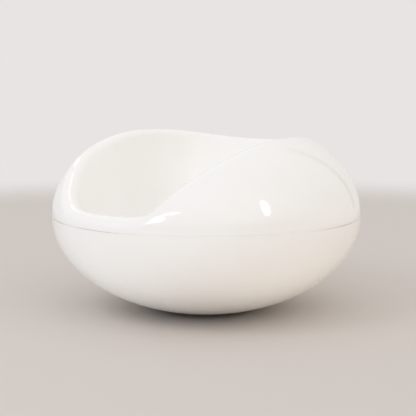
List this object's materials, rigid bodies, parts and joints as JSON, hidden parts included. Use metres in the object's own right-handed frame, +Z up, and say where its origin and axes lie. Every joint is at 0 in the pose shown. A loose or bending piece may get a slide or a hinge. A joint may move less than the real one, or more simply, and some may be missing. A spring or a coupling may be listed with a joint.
{
  "type": "rocking lounge chair",
  "caption": "Pebble-shaped rocking lounge chair in glossy moulded laminate: hollow rounded body, scooped seat, rolled rim, thin seam around the middle and a round base that rocks.",
  "frame": {"origin": "centre of the flat that rests on the floor, on the chair's own axis", "axes": "+Z up, the seat opens towards -Y, +X to the sitter's left"},
  "size_m": [0.9199, 0.92, 0.5277],
  "materials": {
    "gelcoat": "high-gloss warm white gelcoat on glass-fibre laminate",
    "raw_laminate": "unpainted glass-fibre laminate, hidden inside",
    "bonding_paste": "cured polyester bonding paste, hidden inside",
    "seam_filler": "dull brownish joint filler"
  },
  "bodies": {
    "root": {"upper_shell": "gelcoat", "lower_shell": "gelcoat", "joint_hoop": "raw_laminate", "upper_paste": "bonding_paste", "lower_paste": "bonding_paste", "seam_filler": "seam_filler", "seat_patch": "raw_laminate", "floor_patch": "raw_laminate"}
  },
  "joints": []
}
